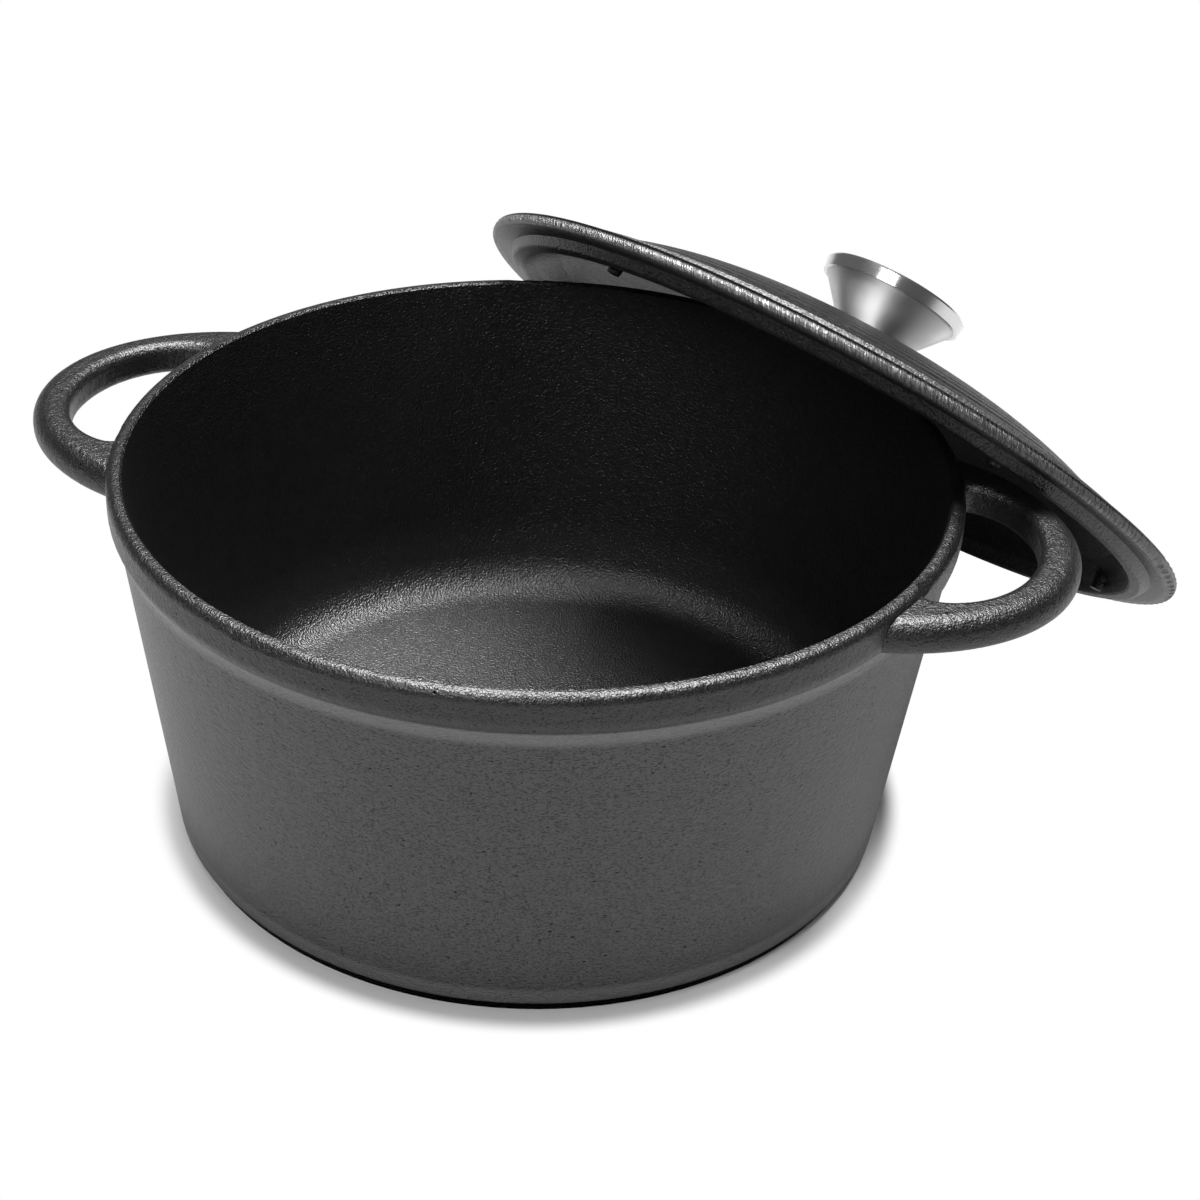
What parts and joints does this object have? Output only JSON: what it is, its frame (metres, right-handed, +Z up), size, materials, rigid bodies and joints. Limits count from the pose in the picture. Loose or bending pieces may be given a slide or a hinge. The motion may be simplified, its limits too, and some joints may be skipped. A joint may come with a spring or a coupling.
{
  "type": "cast iron dutch oven",
  "caption": "Round tapered cast iron pot with two loop handles and a domed lid with a steel cone knob, the lid off and leaning on the rim.",
  "frame": {"origin": "centre of the pot's foot, on the surface it stands on", "axes": "+Z up along the pot's axis, +X through the middle of the loop handle under the leaning lid, +Y to the side the lid leans from"},
  "size_m": [0.3736, 0.3664, 0.1882],
  "materials": {
    "pot_iron": "fine cast texture, seasoned satin black",
    "lid_iron": "fine cast texture, seasoned satin black",
    "brushed_steel": "turned and brushed round the axis",
    "polished_steel": "polished stainless steel",
    "plain_steel": "plain bright steel"
  },
  "bodies": {
    "pot": {"pot": "pot_iron"},
    "lid": {"lid": "lid_iron", "knob_collar": "polished_steel", "knob_cone": "brushed_steel", "knob_boss": "plain_steel", "knob_cap": "polished_steel", "flat_washer": "plain_steel", "spring_washer": "plain_steel", "knob_screw": "plain_steel"}
  },
  "joints": [
    {"name": "lid_lift", "type": "slide", "parent": "pot", "child": "lid", "axis": [0.2847, 0.6162, 0.7343], "range_m": [0, 0.18]}
  ]
}
